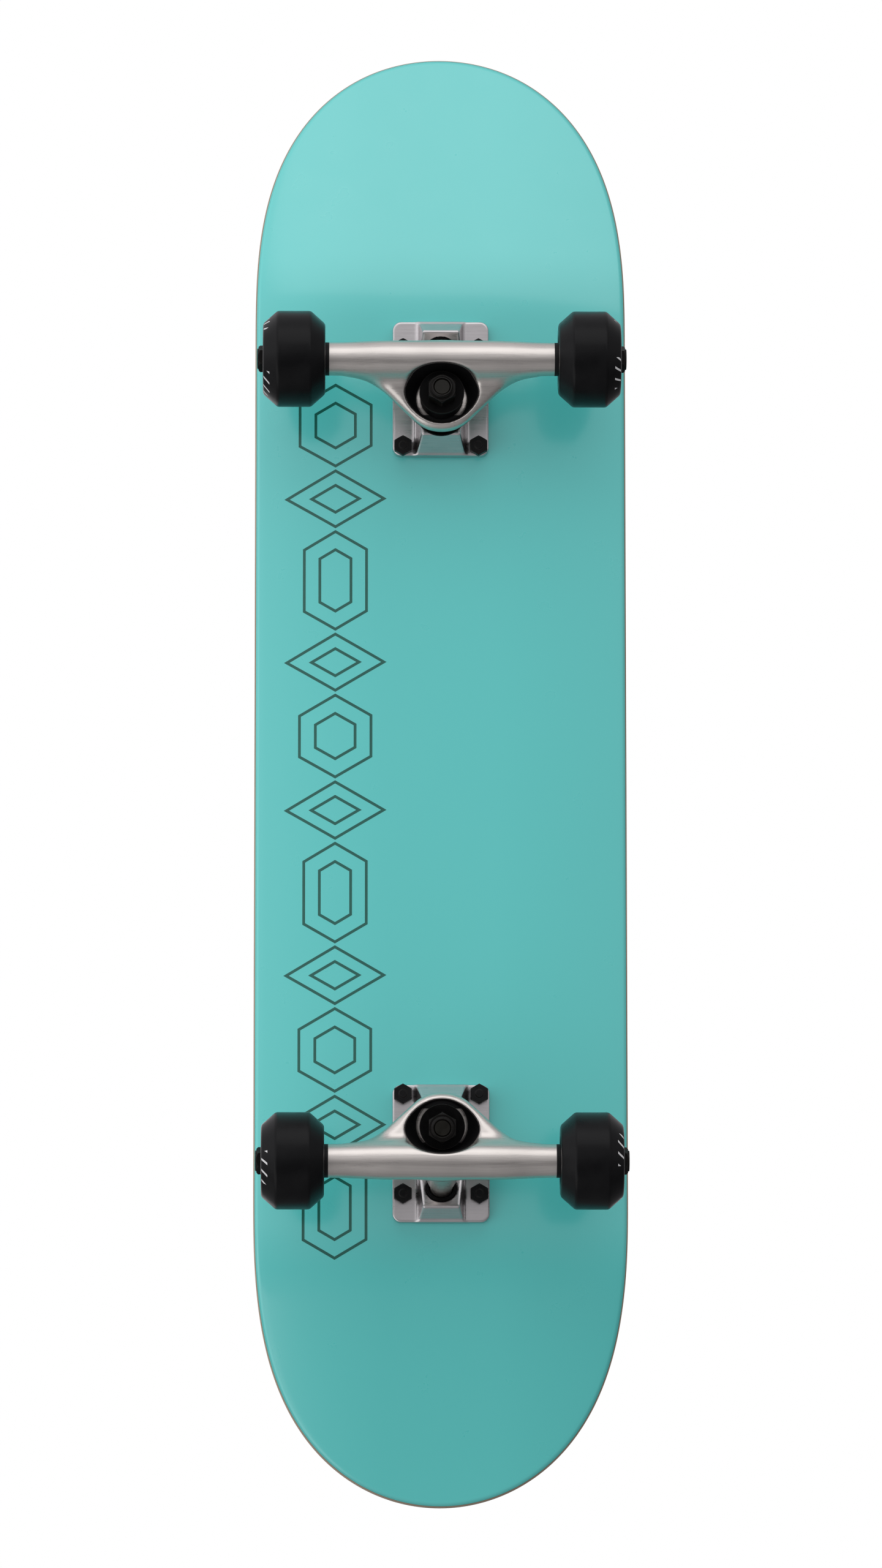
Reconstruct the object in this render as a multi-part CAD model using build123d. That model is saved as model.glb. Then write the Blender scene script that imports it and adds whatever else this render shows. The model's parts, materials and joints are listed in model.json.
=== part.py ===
from build123d import *
import os
from math import cos, radians, sqrt

# A skateboard: pressed maple deck, two trucks, four urethane wheels on 608 bearings.
# Row frame: +X towards the nose, +Y to the rider's left, +Z up, z = 0 on the ground.
# Truck frame: origin in the middle of the four mounting bolts on the deck's underside,
# +X outward (towards the nearer end of the board), +Z up, so truck parts have z < 0.

# --- Deck -------------------------------------------------------------------------
DECK_WIDTH = 203.2
NOSE_REACH = 406.9
TAIL_REACH = 398.5
TRUCK_SHIFT = -(NOSE_REACH - TAIL_REACH) / 2
DECK_HEIGHT = 76.0
END_TAPER = 172.0
PLY_COUNT = 7
DECK_THICKNESS = 11.0
PLY = DECK_THICKNESS / PLY_COUNT
GRIP_THICKNESS = 0.9
GRIP_INSET = 2.0
FLAT_HALF = 30.0
CONCAVE_RADIUS = 325.0
CONCAVE_SWEEP = 14.5
BEND_START = 248.0
BEND_RADIUS = 120.0
KICK_ANGLE = 20.0
KICK_RUN = 170.0

# --- Mounting hardware ------------------------------------------------------------
BOLT_SPAN_X = 53.975
BOLT_SPAN_Y = 41.275
TRUCK_SPACING = 409.6
BOLT_RADIUS = 2.4
BOLT_HOLE_RADIUS = 2.75
HEAD_RADIUS = 4.8
HEAD_HEIGHT = 2.7
NUT_FLATS = 9.5
NUT_HEIGHT = 4.9
BOLT_TAIL = 0.5
SOCKET_RADIUS = 1.6
SOCKET_DEPTH = 1.4

# --- Truck geometry (truck frame) -------------------------------------------------
AXLE_X = 12.95
AXLE_DROP = 50.0
PLATE_INNER = -32.4
PLATE_OUTER = 42.6
PLATE_WIDTH = 53.0
PLATE_THICKNESS = 5.4
PLATE_CORNER = 5.0
PLATE_CHAMFER = 0.8
PIVOT_X = 24.5
PIVOT_DROP = 11.5
PIVOT_FACE_TILT = 28.0
PIVOT_TIP_RADIUS = 6.0
CUP_RADIUS = 8.2
CUP_LIP = 0.9
RUNNING_GAP = 0.05
RING_X = -7.5
RING_DROP = 36.0
KINGPIN_LEAN = 9.0
KINGPIN_RADIUS = 4.76
RING_HALF = 3.0
RING_HOLE_RADIUS = 6.8
KINGPIN_BOSS_HALF = 11.25
PIVOT_BOSS_HALF = 10.45
KINGPIN_BOSS_SIDE = [(PLATE_INNER, 0), (PLATE_INNER, 3), (-22.6, 20.6), (1.5, 16.7), (8.5, 4), (8.5, 0)]
PIVOT_BOSS_SIDE = [(7, 0), (7, 4.5), (14.8, 6.3), (34.9, 17.2), (PLATE_OUTER, 4), (PLATE_OUTER, 0)]
SEAT_LEVEL = -17.6
WASHER_THICKNESS = 1.5
BOTTOM_WASHER_RADIUS = 14.0
TOP_WASHER_RADIUS = 12.15
BOARD_BUSHING_RADIUS = 12.3
BOARD_BUSHING_WAIST = 11.4
ROAD_BUSHING_RADII = (11.6, 10.6, 9.4)
ROAD_BUSHING_TOP = 13.0
KINGPIN_SUNK = 0.6
KINGPIN_NUT_FLATS = 14.3
KINGPIN_NUT_HEX = 7.0
KINGPIN_NUT_COLLAR = 2.5
KINGPIN_HEAD_FLATS = 14.3
KINGPIN_HEAD_LOW = -34.8
KINGPIN_HEAD_HIGH = -29.5

# --- Hanger, axle and wheels ------------------------------------------------------
BAR_END = 67.0
BAR_END_RADIUS = 9.0
BAR_MIDDLE_RADIUS = 10.1
BAR_TAPER_START = 35.0
BAR_TAPER_END = 61.0
YOKE_TIP = (-25.0, 0)
YOKE_SHOULDER = (-20.2, 14)
YOKE_FLANK_END = (-8.1, 26.7)
YOKE_FLARE_END = (5.5, 49.5)
YOKE_SIDE = [(AXLE_X, 53.4), (-26, 42.8), (-26, 31), (6, 31.2), (AXLE_X, 41)]
ARM_DIRECTION = (-0.29, 0, -0.957)
ARM_LENGTH = 32.0
ARM_PIVOT_RADIUS = 5.2
ARM_ROOT_HALVES = (12.5, 9)
CUP_DEPTH = 24.0
CUP_MOUTH_HALVES = (15.5, 24.5)
CUP_FLOOR_RADIUS = 14.0
AXLE_RADIUS = 3.97
AXLE_HALF = 100.0
WHEEL_RADIUS = 26.0
WHEEL_HALF = 17.0
TREAD_HALF = 9.0
SHOULDER_RADIUS = 19.0
WHEEL_Y = 80.0
WHEEL_FILLET = 3.0
WHEEL_MOUTH_RADIUS = 13.5
CORE_RADIUS = 9.3
CORE_HALF = 5.0
BEARING_RADIUS = 11.0
BEARING_WIDTH = 7.0
BEARING_BORE = 4.0
BEARING_Y = CORE_HALF + BEARING_WIDTH / 2
INNER_RING_RADIUS = 6.1
OUTER_RING_BORE = 9.0
SHIELD_SEAT_RADIUS = 9.6
SHIELD_BORE = 6.4
SHIELD_THICKNESS = 0.4
SHIELD_DEPTH = 0.25
BALL_CIRCLE = 7.5
BALL_RADIUS = 1.98
BALL_COUNT = 7
GROOVE_RADIUS = BALL_RADIUS + RUNNING_GAP
CAGE_INNER = 6.6
CAGE_OUTER = 8.4
CAGE_LOW = -1.0
CAGE_HIGH = 2.4
SPACER_RADIUS = 5.5
SPEED_WASHER_RADIUS = 5.6
SPEED_WASHER_THICKNESS = 1.0
AXLE_NUT_FLATS = 12.7
AXLE_NUT_HEX = 6.3
AXLE_NUT_COLLAR = 0.7
COLLAR_SHARE = 0.42
AXLE_COLLAR_SHARE = 0.44
NUT_CHAMFER_SHARE = 0.07


def save(shape, node):
    export_step(shape, f"parts/{node}.step")


def group(solids):
    return Compound(children=list(solids))


# --- Deck -------------------------------------------------------------------------
def layer_section(low, high):
    """Cross-section of one laminate layer: a flat middle and two rising arcs."""
    centre = (FLAT_HALF, CONCAVE_RADIUS)
    low_arc = CenterArc(centre, CONCAVE_RADIUS - low, -90, CONCAVE_SWEEP)
    high_arc = CenterArc(centre, CONCAVE_RADIUS - high, -90, CONCAVE_SWEEP)
    right = [
        Line((0, low), low_arc @ 0),
        low_arc,
        Line(low_arc @ 1, high_arc @ 1),
        high_arc,
        Line((0, high), high_arc @ 0),
    ]
    left = [mirror(edge, about=Plane.YZ) for edge in right]
    return Plane.YZ * make_face(right + left)


def layer_end(section):
    """The bend and the rising kick at the +X end of a layer, about the truck centre."""
    at_bend = Pos(BEND_START, 0, 0) * section
    hinge = Axis((BEND_START, 0, BEND_RADIUS), (0, -1, 0))
    bend = revolve(at_bend, axis=hinge, revolution_arc=KICK_ANGLE)
    kick = extrude(at_bend, amount=KICK_RUN, dir=(1, 0, 0)).rotate(hinge, KICK_ANGLE)
    return bend + kick


def end_curve(reach, width):
    """Rounded end of the outline, a blunt oval that is tangent to both rails."""
    points = []
    steps = 9
    for i in range(-steps, steps + 1):
        angle = radians(90 * i / steps)
        side = 1 if i > 0 else -1
        half = width / 2 * sqrt(1 - cos(angle) ** 3)
        points.append((reach - END_TAPER * (1 - cos(angle)), side * half))
    return Spline(points, tangents=[(1, 0), (-1, 0)])


def deck_outline(inset=0.0):
    width = DECK_WIDTH - 2 * inset
    nose = end_curve(NOSE_REACH - inset, width)
    tail = mirror(end_curve(TAIL_REACH - inset, width), about=Plane.YZ)
    rails = [
        Line(nose @ 0, tail @ 0),
        Line(nose @ 1, tail @ 1),
    ]
    return extrude(make_face([nose, tail, *rails]), amount=100, both=True)


def bolt_places():
    places = []
    for end in (1, -1):
        for sx in (1, -1):
            for sy in (1, -1):
                x = end * TRUCK_SPACING / 2 + sx * BOLT_SPAN_X / 2
                places.append((x, sy * BOLT_SPAN_Y / 2))
    return places


def bolt_cutters():
    """Clearance holes with countersinks that open at the top of the laminate."""
    gap = RUNNING_GAP
    cutters = []
    for x, y in bolt_places():
        hole = Pos(x, y, 0) * Cylinder(BOLT_HOLE_RADIUS, 60)
        sink = Cone(BOLT_RADIUS + gap, HEAD_RADIUS + gap, HEAD_HEIGHT)
        mouth = Pos(x, y, DECK_THICKNESS + 1) * Cylinder(HEAD_RADIUS + gap, 2)
        cutters += [hole, Pos(x, y, DECK_THICKNESS - HEAD_HEIGHT / 2) * sink, mouth]
    return cutters


def deck_layer(low, high, outline, cutters):
    section = layer_section(low, high)
    middle = extrude(Pos(-BEND_START, 0, 0) * section, amount=2 * BEND_START, dir=(1, 0, 0))
    end = layer_end(section)
    layer = middle + end + mirror(end, about=Plane.YZ)
    layer = (layer & outline) - cutters
    return Pos(TRUCK_SHIFT, 0, DECK_HEIGHT) * layer.solids()[0]


def make_deck():
    outline = deck_outline()
    cutters = bolt_cutters()
    plies = [deck_layer(i * PLY, (i + 1) * PLY, outline, cutters) for i in range(PLY_COUNT)]
    save(plies[0], "deck_bottom_face_ply")
    save(group(plies[i] for i in (1, 3, 5)), "deck_long_grain_core_plies")
    save(group(plies[i] for i in (2, 4)), "deck_cross_grain_plies")
    save(plies[6], "deck_top_face_ply")
    top = DECK_THICKNESS
    grip = deck_layer(top, top + GRIP_THICKNESS, deck_outline(GRIP_INSET), cutters)
    save(grip, "grip_tape")


# --- Mounting hardware ------------------------------------------------------------
def hex_prism(flats, height, chamfer_size):
    """Hexagonal prism on z = 0 with its six upper corners turned off to a circle."""
    prism = extrude(RegularPolygon(flats / 2, 6, major_radius=False), amount=height)
    corner = flats / 2 / cos(radians(30))
    barrel = Cylinder(corner, height, align=(Align.CENTER, Align.CENTER, Align.MIN))
    barrel = chamfer(barrel.edges().group_by(Axis.Z)[-1], chamfer_size)
    return prism & barrel


def lock_nut(flats, hex_height, collar_height, hole_radius, collar_share=COLLAR_SHARE):
    """Hexagonal lock nut on z = 0 with the round collar of its locking insert."""
    body = hex_prism(flats, hex_height, flats * NUT_CHAMFER_SHARE)
    total = hex_height + collar_height
    if collar_height:
        ring = Cylinder(flats * collar_share, total, align=(Align.CENTER, Align.CENTER, Align.MIN))
        body += chamfer(ring.edges().group_by(Axis.Z)[-1], collar_height * 0.3)
    return body - Cylinder(hole_radius, 3 * total)


def make_mounting_hardware():
    low = -(PLATE_THICKNESS + NUT_HEIGHT + BOLT_TAIL)
    shank_length = DECK_THICKNESS - HEAD_HEIGHT - low
    shank = Pos(0, 0, low + shank_length / 2) * Cylinder(BOLT_RADIUS, shank_length)
    shank = chamfer(shank.edges().group_by(Axis.Z)[0], 0.5)
    head = Pos(0, 0, DECK_THICKNESS - HEAD_HEIGHT / 2) * Cone(BOLT_RADIUS, HEAD_RADIUS, HEAD_HEIGHT)
    socket = extrude(RegularPolygon(SOCKET_RADIUS, 6, major_radius=False), amount=SOCKET_DEPTH)
    bolt = shank + head - Pos(0, 0, DECK_THICKNESS - SOCKET_DEPTH) * socket
    nut = Rot(180, 0, 0) * lock_nut(NUT_FLATS, NUT_HEIGHT, 0, BOLT_RADIUS)
    bolts = []
    nuts = []
    for x, y in bolt_places():
        place = Pos(x + TRUCK_SHIFT, y, DECK_HEIGHT)
        bolts.append(place * bolt)
        nuts.append(place * Pos(0, 0, -PLATE_THICKNESS) * nut)
    save(group(bolts), "mounting_bolts")
    save(group(nuts), "mounting_nuts")


# --- Truck ------------------------------------------------------------------------
def kingpin_place(level):
    """Frame on the kingpin's axis: its +Z points down the kingpin, away from the deck.

    level is the distance from the middle of the hanger's ring, positive away from the deck.
    """
    return Pos(RING_X, 0, -RING_DROP) * Rot(0, 180 - KINGPIN_LEAN, 0) * Pos(0, 0, level)


def pivot_place():
    """Frame at the pivot's centre: its +Z points out of the pivot cup."""
    return Pos(PIVOT_X, 0, -PIVOT_DROP) * Rot(0, 180 + PIVOT_FACE_TILT, 0)


def on_kingpin(radius, low, high, bore=KINGPIN_RADIUS + RUNNING_GAP):
    tube = Cylinder(radius, high - low, align=(Align.CENTER, Align.CENTER, Align.MIN))
    tube -= Cylinder(bore, 3 * (high - low))
    return kingpin_place(low) * tube


def side_prism(points, half_width):
    """Side profile given as (x, drop below the deck) points, extruded across the truck."""
    outline = Polyline([(x, -drop) for x, drop in points], close=True)
    return extrude(Plane.XZ * make_face(outline), amount=half_width, both=True)


def baseplate():
    length = PLATE_OUTER - PLATE_INNER
    middle = (PLATE_OUTER + PLATE_INNER) / 2
    plate = Pos(middle, 0, -PLATE_THICKNESS) * extrude(
        RectangleRounded(length, PLATE_WIDTH, PLATE_CORNER), amount=PLATE_THICKNESS
    )
    plate = chamfer(plate.edges().group_by(Axis.Z)[0], PLATE_CHAMFER)
    body = plate + side_prism(KINGPIN_BOSS_SIDE, KINGPIN_BOSS_HALF)
    body += side_prism(PIVOT_BOSS_SIDE, PIVOT_BOSS_HALF)
    body -= pivot_place() * Sphere(CUP_RADIUS)
    body -= pivot_place() * Pos(0, 0, 10) * Cylinder(CUP_RADIUS, 20)
    body -= kingpin_place(SEAT_LEVEL + 10) * Cylinder(30, 20)
    body -= kingpin_place(SEAT_LEVEL) * Cylinder(KINGPIN_RADIUS + RUNNING_GAP, 60)
    head_radius = KINGPIN_HEAD_FLATS / 2 / cos(radians(30)) + 0.3
    body -= kingpin_place(KINGPIN_HEAD_HIGH - 10) * Cylinder(head_radius, 20)
    for sx in (1, -1):
        for sy in (1, -1):
            body -= Pos(sx * BOLT_SPAN_X / 2, sy * BOLT_SPAN_Y / 2, 0) * Cylinder(BOLT_HOLE_RADIUS, 60)
    return body.solids().sort_by(SortBy.VOLUME)[-1]


def pivot_cup():
    """Round-bottomed urethane cup that the hanger's pivot turns in."""
    inner = PIVOT_TIP_RADIUS + RUNNING_GAP
    cup = Sphere(CUP_RADIUS) - Pos(0, 0, 10) * Cylinder(20, 20)
    cup += Cylinder(CUP_RADIUS, CUP_LIP, align=(Align.CENTER, Align.CENTER, Align.MIN))
    cup -= Sphere(inner)
    cup -= Cone(inner, inner + 0.8, CUP_LIP + 0.01, align=(Align.CENTER, Align.CENTER, Align.MIN))
    return pivot_place() * cup


def kingpin(top):
    head = extrude(
        RegularPolygon(KINGPIN_HEAD_FLATS / 2, 6, major_radius=False),
        amount=KINGPIN_HEAD_HIGH - KINGPIN_HEAD_LOW,
    )
    shank_length = top - KINGPIN_HEAD_HIGH
    shank = Cylinder(KINGPIN_RADIUS, shank_length, align=(Align.CENTER, Align.CENTER, Align.MIN))
    shank = chamfer(shank.edges().group_by(Axis.Z)[-1], 0.8)
    return kingpin_place(KINGPIN_HEAD_LOW) * head + kingpin_place(KINGPIN_HEAD_HIGH) * shank


def bushing(low, high, low_radius, waist_radius, high_radius):
    """Urethane bushing: a turned profile with a soft waist, bored for the kingpin."""
    bore = KINGPIN_RADIUS + 2 * RUNNING_GAP
    height = high - low
    side = ThreePointArc((low_radius, 0.8), (waist_radius, height / 2), (high_radius, height - 0.8))
    profile = [
        Line((bore, 0), (low_radius - 0.8, 0)),
        Line((low_radius - 0.8, 0), (low_radius, 0.8)),
        side,
        Line((high_radius, height - 0.8), (high_radius - 0.8, height)),
        Line((high_radius - 0.8, height), (bore, height)),
        Line((bore, height), (bore, 0)),
    ]
    turned = revolve(Plane.XZ * make_face(profile), axis=Axis.Z)
    return kingpin_place(low) * turned


def hanger():
    axle_line = Pos(AXLE_X, 0, -AXLE_DROP)
    bar_profile = Polyline(
        (0, -BAR_END),
        (BAR_END_RADIUS, -BAR_END),
        (BAR_END_RADIUS, -BAR_TAPER_END),
        (BAR_MIDDLE_RADIUS, -BAR_TAPER_START),
        (BAR_MIDDLE_RADIUS, BAR_TAPER_START),
        (BAR_END_RADIUS, BAR_TAPER_END),
        (BAR_END_RADIUS, BAR_END),
        (0, BAR_END),
        close=True,
    )
    bar = axle_line * revolve(make_face(bar_profile), axis=Axis.Y)
    flank = Line(YOKE_SHOULDER, YOKE_FLANK_END)
    flare = TangentArc(YOKE_FLANK_END, YOKE_FLARE_END, tangent=flank % 1)
    edges = [flank, flare, Line(flare @ 1, (AXLE_X, YOKE_FLARE_END[1]))]
    edges += [mirror(edge, about=Plane.XZ) for edge in edges]
    other_shoulder = (YOKE_SHOULDER[0], -YOKE_SHOULDER[1])
    edges.append(ThreePointArc(YOKE_SHOULDER, YOKE_TIP, other_shoulder))
    edges.append(Line((AXLE_X, YOKE_FLARE_END[1]), (AXLE_X, -YOKE_FLARE_END[1])))
    yoke = extrude(make_face(edges), amount=-80) & side_prism(YOKE_SIDE, 60)
    yoke -= kingpin_place(-RING_HALF - 10) * Cylinder(40, 20)
    root = Plane(origin=(PIVOT_X, 0, -PIVOT_DROP), x_dir=(0, 1, 0), z_dir=ARM_DIRECTION)
    arm = loft([root * Circle(ARM_PIVOT_RADIUS), root.offset(ARM_LENGTH) * Ellipse(*ARM_ROOT_HALVES)])
    body = bar + yoke + arm + Pos(PIVOT_X, 0, -PIVOT_DROP) * Sphere(PIVOT_TIP_RADIUS)
    floor = Plane(kingpin_place(RING_HALF))
    mouth = floor.offset(CUP_DEPTH)
    body -= loft([floor * Circle(CUP_FLOOR_RADIUS), mouth * Ellipse(*CUP_MOUTH_HALVES)])
    body -= kingpin_place(0) * Cylinder(RING_HOLE_RADIUS, 20)
    body -= axle_line * Rot(90, 0, 0) * Cylinder(AXLE_RADIUS, 300)
    return body.solids().sort_by(SortBy.VOLUME)[-1]


def axle():
    rod = Cylinder(AXLE_RADIUS, 2 * AXLE_HALF)
    rod = chamfer(rod.edges().filter_by(GeomType.CIRCLE), 0.7)
    return Pos(AXLE_X, 0, -AXLE_DROP) * Rot(90, 0, 0) * rod


def wheel_places():
    left = Pos(AXLE_X, WHEEL_Y, -AXLE_DROP)
    right = Pos(AXLE_X, -WHEEL_Y, -AXLE_DROP) * Rot(0, 0, 180)
    return (left, right)


def speed_washers():
    washer = Cylinder(SPEED_WASHER_RADIUS, SPEED_WASHER_THICKNESS)
    washer = Rot(90, 0, 0) * (washer - Cylinder(AXLE_RADIUS + RUNNING_GAP, 10))
    reach = CORE_HALF + BEARING_WIDTH + SPEED_WASHER_THICKNESS / 2
    return [place * Pos(0, side * reach, 0) * washer for place in wheel_places() for side in (1, -1)]


def axle_nuts():
    nut = lock_nut(AXLE_NUT_FLATS, AXLE_NUT_HEX, AXLE_NUT_COLLAR, AXLE_RADIUS, AXLE_COLLAR_SHARE)
    nut = Rot(-90, 0, 0) * nut
    reach = CORE_HALF + BEARING_WIDTH + SPEED_WASHER_THICKNESS
    return [place * Pos(0, reach, 0) * nut for place in wheel_places()]


def make_truck(end, place):
    washer_top = SEAT_LEVEL + WASHER_THICKNESS
    nut_level = ROAD_BUSHING_TOP + WASHER_THICKNESS
    nut_top = nut_level + KINGPIN_NUT_HEX + KINGPIN_NUT_COLLAR
    gap = RUNNING_GAP
    board_radii = (BOARD_BUSHING_RADIUS, BOARD_BUSHING_WAIST, BOARD_BUSHING_RADIUS)
    nut = lock_nut(KINGPIN_NUT_FLATS, KINGPIN_NUT_HEX, KINGPIN_NUT_COLLAR, KINGPIN_RADIUS)
    pieces = {
        "baseplate": baseplate(),
        "pivot_cup": pivot_cup(),
        "kingpin": kingpin(nut_top - KINGPIN_SUNK),
        "bottom_washer": on_kingpin(BOTTOM_WASHER_RADIUS, SEAT_LEVEL, washer_top),
        "boardside_bushing": bushing(washer_top + gap, -RING_HALF - gap, *board_radii),
        "roadside_bushing": bushing(RING_HALF + gap, ROAD_BUSHING_TOP - gap, *ROAD_BUSHING_RADII),
        "top_washer": on_kingpin(TOP_WASHER_RADIUS, ROAD_BUSHING_TOP, nut_level),
        "kingpin_nut": kingpin_place(nut_level) * nut,
        "hanger": hanger(),
        "axle": axle(),
        "speed_washers": group(speed_washers()),
        "axle_nuts": group(axle_nuts()),
    }
    for name, shape in pieces.items():
        save(place * shape, f"{end}_{name}")


# --- Wheels (own frame: axle along Y, +Y away from the truck) -----------------------
def turned_on_axle(points):
    """Solid of revolution about the axle from (radius, distance along the axle) points."""
    return revolve(make_face(Polyline(points, close=True)), axis=Axis.Y)


def tyre():
    seat_end = CORE_HALF + BEARING_WIDTH
    half = [
        (CORE_RADIUS, CORE_HALF),
        (BEARING_RADIUS, CORE_HALF),
        (BEARING_RADIUS, seat_end),
        (BEARING_RADIUS + 0.6, seat_end + 0.6),
        (WHEEL_MOUTH_RADIUS, WHEEL_HALF),
        (SHOULDER_RADIUS, WHEEL_HALF),
        (WHEEL_RADIUS, TREAD_HALF),
    ]
    other_half = [(r, -y) for r, y in reversed(half)]
    face = make_face(Polyline(half + other_half, close=True))
    tread = [v for v in face.vertices() if v.X > WHEEL_RADIUS - 0.1]
    face = fillet(tread, WHEEL_FILLET)
    shoulders = [v for v in face.vertices() if abs(v.X - SHOULDER_RADIUS) < 0.1]
    return revolve(fillet(shoulders, WHEEL_FILLET), axis=Axis.Y)


def at_bearings(shape, mirrored=False):
    """One copy at each bearing; mirrored turns the inner copy round."""
    turn = Rot(180, 0, 0) if mirrored else Rot(0, 0, 0)
    return [Pos(0, BEARING_Y, 0) * shape, Pos(0, -BEARING_Y, 0) * turn * shape]


def groove():
    return Rot(90, 0, 0) * Torus(BALL_CIRCLE, GROOVE_RADIUS)


def outer_ring():
    half = BEARING_WIDTH / 2
    step = half - SHIELD_DEPTH - SHIELD_THICKNESS
    points = [
        (OUTER_RING_BORE, step),
        (SHIELD_SEAT_RADIUS, step),
        (SHIELD_SEAT_RADIUS, half),
        (BEARING_RADIUS, half),
        (BEARING_RADIUS, -half),
        (SHIELD_SEAT_RADIUS, -half),
        (SHIELD_SEAT_RADIUS, -step),
        (OUTER_RING_BORE, -step),
    ]
    return turned_on_axle(points) - groove()


def inner_ring():
    half = BEARING_WIDTH / 2
    bore = BEARING_BORE
    outer = INNER_RING_RADIUS
    points = [(bore, half), (outer, half), (outer, -half), (bore, -half)]
    return turned_on_axle(points) - groove()


def ball_centres():
    for i in range(BALL_COUNT):
        yield Rot(0, 360 * i / BALL_COUNT, 0) * Pos(BALL_CIRCLE, 0, 0)


def balls():
    return [place * Sphere(BALL_RADIUS) for place in ball_centres()]


def cage():
    points = [
        (CAGE_INNER, CAGE_LOW),
        (CAGE_OUTER, CAGE_LOW),
        (CAGE_OUTER, CAGE_HIGH),
        (CAGE_INNER, CAGE_HIGH),
    ]
    crown = turned_on_axle(points)
    for place in ball_centres():
        crown -= place * Sphere(BALL_RADIUS + RUNNING_GAP)
    return crown


def shields():
    """The two pressed shields of one bearing, each in its step of the outer ring."""
    outside = BEARING_WIDTH / 2 - SHIELD_DEPTH
    inside = outside - SHIELD_THICKNESS
    made = []
    for side in (1, -1):
        points = [
            (SHIELD_BORE, side * inside),
            (SHIELD_SEAT_RADIUS, side * inside),
            (SHIELD_SEAT_RADIUS, side * outside),
            (SHIELD_BORE, side * outside),
        ]
        made.append(turned_on_axle(points))
    return made


def spacer():
    bore = AXLE_RADIUS + 2 * RUNNING_GAP
    points = [
        (bore, CORE_HALF),
        (SPACER_RADIUS, CORE_HALF),
        (SPACER_RADIUS, -CORE_HALF),
        (bore, -CORE_HALF),
    ]
    return turned_on_axle(points)


def make_wheel(name, place):
    ball_set = [Pos(0, side * BEARING_Y, 0) * ball for side in (1, -1) for ball in balls()]
    shield_set = [Pos(0, side * BEARING_Y, 0) * shield for side in (1, -1) for shield in shields()]
    pieces = {
        "wheel": [tyre()],
        "bearing_outer_rings": at_bearings(outer_ring()),
        "bearing_inner_rings": at_bearings(inner_ring()),
        "bearing_balls": ball_set,
        "bearing_cages": at_bearings(cage(), mirrored=True),
        "bearing_shields": shield_set,
        "bearing_spacer": [spacer()],
    }
    for piece, solids in pieces.items():
        save(group(place * solid for solid in solids), f"{name}_{piece}")


def make_trucks_and_wheels():
    front = Pos(TRUCK_SHIFT + TRUCK_SPACING / 2, 0, DECK_HEIGHT)
    rear = Pos(TRUCK_SHIFT - TRUCK_SPACING / 2, 0, DECK_HEIGHT) * Rot(0, 0, 180)
    plus_y, minus_y = wheel_places()
    make_truck("front", front)
    make_truck("rear", rear)
    make_wheel("front_left", front * plus_y)
    make_wheel("front_right", front * minus_y)
    make_wheel("rear_left", rear * minus_y)
    make_wheel("rear_right", rear * plus_y)


os.makedirs("parts", exist_ok=True)
make_deck()
make_mounting_hardware()
make_trucks_and_wheels()
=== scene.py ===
import json
import math
import bpy
import numpy as np
from mathutils import Matrix, Vector


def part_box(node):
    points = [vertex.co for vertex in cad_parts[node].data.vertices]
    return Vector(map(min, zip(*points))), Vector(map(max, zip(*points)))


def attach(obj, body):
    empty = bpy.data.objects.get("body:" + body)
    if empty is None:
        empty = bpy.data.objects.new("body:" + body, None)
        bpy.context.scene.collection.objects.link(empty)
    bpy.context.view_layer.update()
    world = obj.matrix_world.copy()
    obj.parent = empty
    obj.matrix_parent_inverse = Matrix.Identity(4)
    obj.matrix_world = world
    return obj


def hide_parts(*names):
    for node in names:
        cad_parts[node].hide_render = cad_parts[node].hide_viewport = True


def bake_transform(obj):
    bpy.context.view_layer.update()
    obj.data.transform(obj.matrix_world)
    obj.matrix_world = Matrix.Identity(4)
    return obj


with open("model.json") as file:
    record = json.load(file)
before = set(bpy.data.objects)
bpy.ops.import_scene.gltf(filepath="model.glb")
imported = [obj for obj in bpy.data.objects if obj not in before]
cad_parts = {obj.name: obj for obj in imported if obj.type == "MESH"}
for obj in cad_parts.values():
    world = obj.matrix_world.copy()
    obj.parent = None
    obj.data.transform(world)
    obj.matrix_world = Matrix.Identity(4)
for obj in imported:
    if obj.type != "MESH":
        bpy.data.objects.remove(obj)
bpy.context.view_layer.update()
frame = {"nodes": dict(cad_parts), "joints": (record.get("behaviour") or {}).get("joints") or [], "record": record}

# Shapes are worked out in millimetres and made in metres. The truck frame has its origin
# in the middle of the four mounting bolts, on the deck's painted face, with +X outward
# (towards the nearer end of the board) and +Z up; the front truck's +X is the board's +X.
MM = 0.001
JOINTS = {joint["name"]: joint for joint in frame["joints"]}
ENDS = {"front": 1, "rear": -1}
SIDES = {"left": 1, "right": -1}

# --- Deck (millimetres, from the middle between the trucks) -----------
DECK_LOW, DECK_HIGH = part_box("deck_bottom_face_ply")
PLATE_LOW, PLATE_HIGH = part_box("front_baseplate")
REAR_PLATE_LOW, REAR_PLATE_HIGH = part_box("rear_baseplate")
MIDDLE_X = (PLATE_LOW.x + REAR_PLATE_HIGH.x) / 2
DECK_Z = PLATE_HIGH.z
WIDTH = (DECK_HIGH.y - DECK_LOW.y) / MM
NOSE_REACH = (DECK_HIGH.x - MIDDLE_X) / MM
TAIL_REACH = (MIDDLE_X - DECK_LOW.x) / MM
END_TAPER = 172.0
PLIES = 7
THICKNESS = 11.0
FLAT_HALF = 30.0
CONCAVE_RADIUS = 325.0
BEND_START = 248.0
BEND_RADIUS = 120.0
KICK = math.radians(20)
RAIL_ROUND_LOW = 3.0
RAIL_ROUND_HIGH = 2.0
PAINT_END = 0.95
# From PAINT_END to this depth the rail is coloured dark green: painted shade standing in for the shadow line where
# the lacquer ends.
PAINTED_SHADE_END = 1.1
PAINT, PAINTED_SHADE, WOOD = 0, 1, 2

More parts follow.
